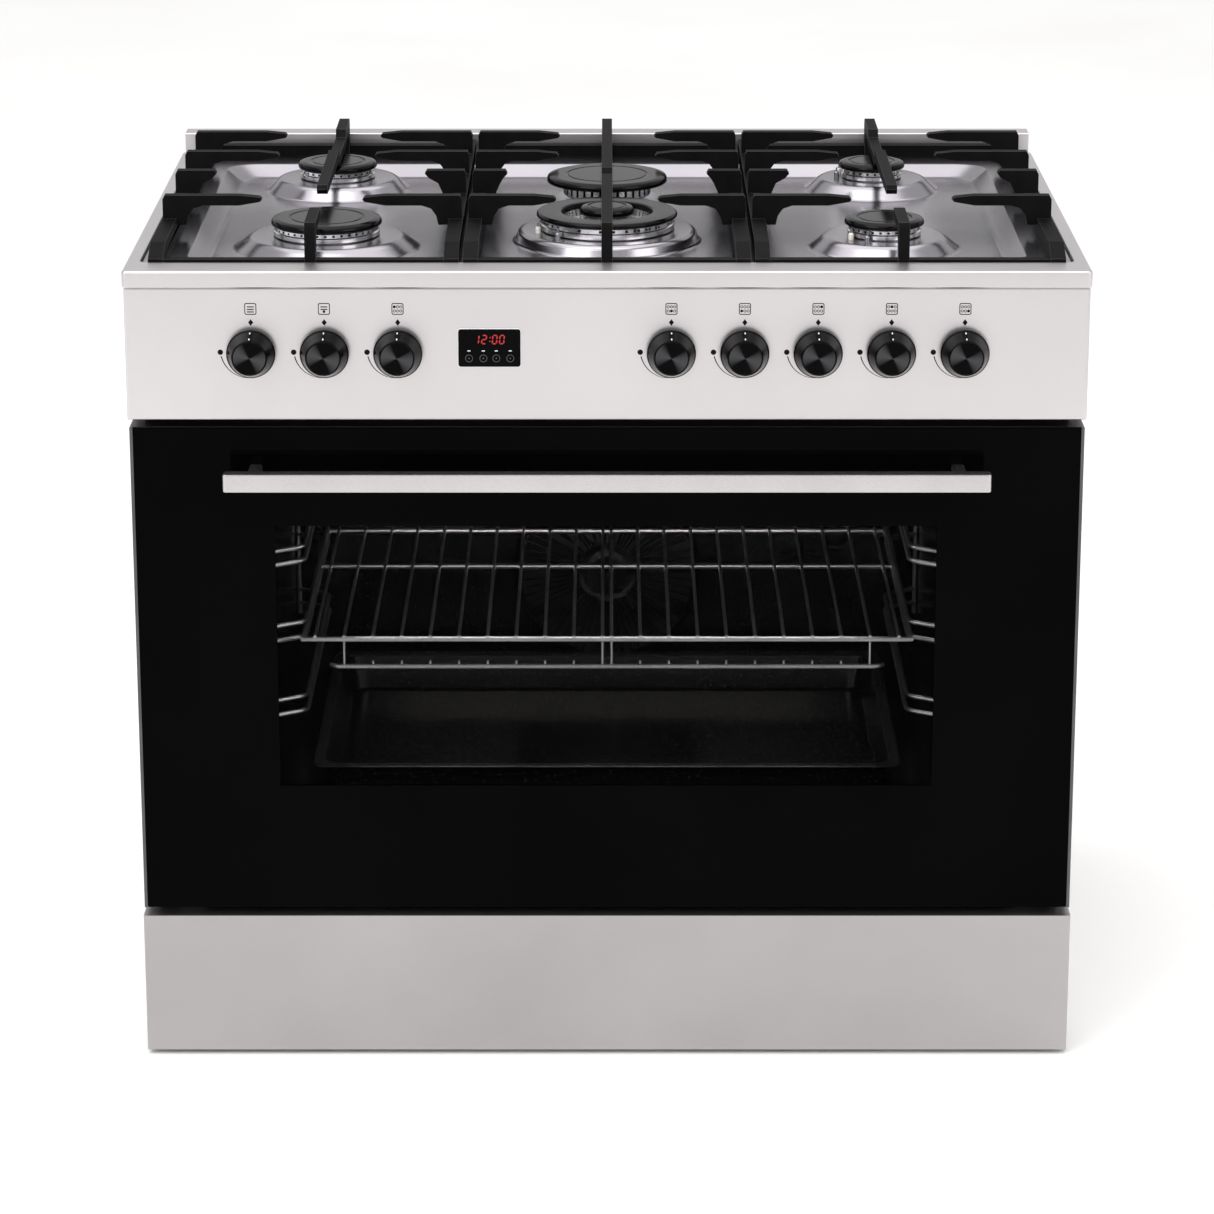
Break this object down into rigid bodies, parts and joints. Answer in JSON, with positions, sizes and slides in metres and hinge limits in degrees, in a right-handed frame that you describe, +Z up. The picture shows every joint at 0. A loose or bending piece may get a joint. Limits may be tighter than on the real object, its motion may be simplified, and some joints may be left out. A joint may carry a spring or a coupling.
{
  "type": "freestanding gas range",
  "caption": "Wide freestanding gas range with a steel body, cast-iron pan supports over gas burners, a row of knobs, a glass drop-down oven door and a storage drawer.",
  "frame": {"origin": "centre of the bounding box's bottom face, on the floor", "axes": "+Z up, -Y towards the front (door side), +X to the right seen from the front"},
  "size_m": [0.902, 0.665, 0.824],
  "materials": {
    "satin_steel": "satin, fine random grain",
    "hob_steel": "polished, dark",
    "galvanised": "zinc coated sheet",
    "dark_enamel": "black vitreous enamel",
    "cast_iron": "matt black enamel, fine grain",
    "cap_enamel": "black enamel, semi-gloss",
    "crown_aluminium": "polished",
    "knob_black": "gloss black",
    "door_glass": "black backed, clear window",
    "oven_glass": "clear",
    "display_black": "black face with red digits",
    "rack_chrome": "bright wire",
    "brass": "machined",
    "rubber": "black"
  },
  "bodies": {
    "root": {"back_panel": "galvanised", "base_frame": "galvanised", "burner_centre_rear": "cap_enamel", "burner_front_left_cap": "cap_enamel", "burner_front_left_crown": "crown_aluminium", "burner_front_right_cap": "cap_enamel", "burner_front_right_crown": "crown_aluminium", "burner_rear_left_cap": "cap_enamel", "burner_rear_left_crown": "crown_aluminium", "burner_rear_right_cap": "cap_enamel", "burner_rear_right_crown": "crown_aluminium", "burner_wok_crown": "crown_aluminium", "burner_wok_inner_cap": "cap_enamel", "burner_wok_ring_cap": "cap_enamel", "control_panel": "satin_steel", "door_gasket": "rubber", "door_hinge_left": "galvanised", "door_hinge_right": "galvanised", "fan_cover": "dark_enamel", "foot_front_left": "rubber", "foot_front_right": "rubber", "foot_rear_left": "rubber", "foot_rear_right": "rubber", "gas_manifold": "brass", "grill_element": "rack_chrome", "hob_top": "hob_steel", "oven_cavity": "dark_enamel", "rear_upstand": "satin_steel", "shelf_ladder_left": "rack_chrome", "shelf_ladder_right": "rack_chrome", "side_panel_left": "satin_steel", "side_panel_right": "satin_steel", "timer_display": "display_black"},
    "door": {"door_frame": "satin_steel", "door_outer_glass": "door_glass", "door_inner_glass": "oven_glass", "door_handle": "satin_steel"},
    "drawer": {"drawer_front": "satin_steel", "drawer_box": "galvanised"},
    "oven_rack": {"oven_rack": "rack_chrome"},
    "baking_tray": {"baking_tray": "dark_enamel"},
    "fan_impeller": {"fan_impeller": "galvanised"},
    "pan_support_left": {"pan_support_left": "cast_iron"},
    "pan_support_centre": {"pan_support_centre": "cast_iron"},
    "pan_support_right": {"pan_support_right": "cast_iron"},
    "knob_1": {"knob_1": "knob_black"},
    "knob_2": {"knob_2": "knob_black"},
    "knob_3": {"knob_3": "knob_black"},
    "knob_4": {"knob_4": "knob_black"},
    "knob_5": {"knob_5": "knob_black"},
    "knob_6": {"knob_6": "knob_black"},
    "knob_7": {"knob_7": "knob_black"},
    "knob_8": {"knob_8": "knob_black"},
    "tap_3": {"tap_spindle_3": "brass"},
    "tap_4": {"tap_spindle_4": "brass"},
    "tap_5": {"tap_spindle_5": "brass"},
    "tap_6": {"tap_spindle_6": "brass"},
    "tap_7": {"tap_spindle_7": "brass"},
    "tap_8": {"tap_spindle_8": "brass"}
  },
  "joints": [
    {"name": "door_swing", "type": "hinge", "parent": "root", "child": "door", "pos_m": [0, -0.2775, 0.163], "axis": [1, 0, 0], "range_deg": [0, 90]},
    {"name": "drawer_slide", "type": "slide", "parent": "root", "child": "drawer", "axis": [0, -1, 0], "range_m": [0, 0.35]},
    {"name": "oven_rack_slide", "type": "slide", "parent": "root", "child": "oven_rack", "axis": [0, -1, 0], "range_m": [0, 0.012]},
    {"name": "baking_tray_slide", "type": "slide", "parent": "root", "child": "baking_tray", "axis": [0, -1, 0], "range_m": [0, 0.012]},
    {"name": "fan_spin", "type": "hinge", "parent": "root", "child": "fan_impeller", "pos_m": [0, 0.1785, 0.36], "axis": [0, -1, 0], "continuous": true},
    {"name": "pan_support_left_lift", "type": "slide", "parent": "root", "child": "pan_support_left", "axis": [0, 0, 1], "range_m": [0, 0.08]},
    {"name": "pan_support_centre_lift", "type": "slide", "parent": "root", "child": "pan_support_centre", "axis": [0, 0, 1], "range_m": [0, 0.08]},
    {"name": "pan_support_right_lift", "type": "slide", "parent": "root", "child": "pan_support_right", "axis": [0, 0, 1], "range_m": [0, 0.08]},
    {"name": "knob_1_turn", "type": "hinge", "parent": "root", "child": "knob_1", "pos_m": [-0.332, -0.292, 0.7085], "axis": [0, 1, 0], "range_deg": [0, 270]},
    {"name": "knob_2_turn", "type": "hinge", "parent": "root", "child": "knob_2", "pos_m": [-0.2635, -0.292, 0.7085], "axis": [0, 1, 0], "range_deg": [0, 270]},
    {"name": "knob_3_push", "type": "slide", "parent": "root", "child": "tap_3", "axis": [0, 1, 0], "range_m": [0, 0.003], "stiffness_N_per_m": 800},
    {"name": "knob_3_turn", "type": "hinge", "parent": "tap_3", "child": "knob_3", "pos_m": [-0.195, -0.292, 0.7085], "axis": [0, -1, 0], "range_deg": [0, 180]},
    {"name": "knob_4_push", "type": "slide", "parent": "root", "child": "tap_4", "axis": [0, 1, 0], "range_m": [0, 0.003], "stiffness_N_per_m": 800},
    {"name": "knob_4_turn", "type": "hinge", "parent": "tap_4", "child": "knob_4", "pos_m": [0.06, -0.292, 0.7085], "axis": [0, -1, 0], "range_deg": [0, 180]},
    {"name": "knob_5_push", "type": "slide", "parent": "root", "child": "tap_5", "axis": [0, 1, 0], "range_m": [0, 0.003], "stiffness_N_per_m": 800},
    {"name": "knob_5_turn", "type": "hinge", "parent": "tap_5", "child": "knob_5", "pos_m": [0.1284, -0.292, 0.7085], "axis": [0, -1, 0], "range_deg": [0, 180]},
    {"name": "knob_6_push", "type": "slide", "parent": "root", "child": "tap_6", "axis": [0, 1, 0], "range_m": [0, 0.003], "stiffness_N_per_m": 800},
    {"name": "knob_6_turn", "type": "hinge", "parent": "tap_6", "child": "knob_6", "pos_m": [0.1968, -0.292, 0.7085], "axis": [0, -1, 0], "range_deg": [0, 180]},
    {"name": "knob_7_push", "type": "slide", "parent": "root", "child": "tap_7", "axis": [0, 1, 0], "range_m": [0, 0.003], "stiffness_N_per_m": 800},
    {"name": "knob_7_turn", "type": "hinge", "parent": "tap_7", "child": "knob_7", "pos_m": [0.2652, -0.292, 0.7085], "axis": [0, -1, 0], "range_deg": [0, 180]},
    {"name": "knob_8_push", "type": "slide", "parent": "root", "child": "tap_8", "axis": [0, 1, 0], "range_m": [0, 0.003], "stiffness_N_per_m": 800},
    {"name": "knob_8_turn", "type": "hinge", "parent": "tap_8", "child": "knob_8", "pos_m": [0.3336, -0.292, 0.7085], "axis": [0, -1, 0], "range_deg": [0, 180]}
  ]
}
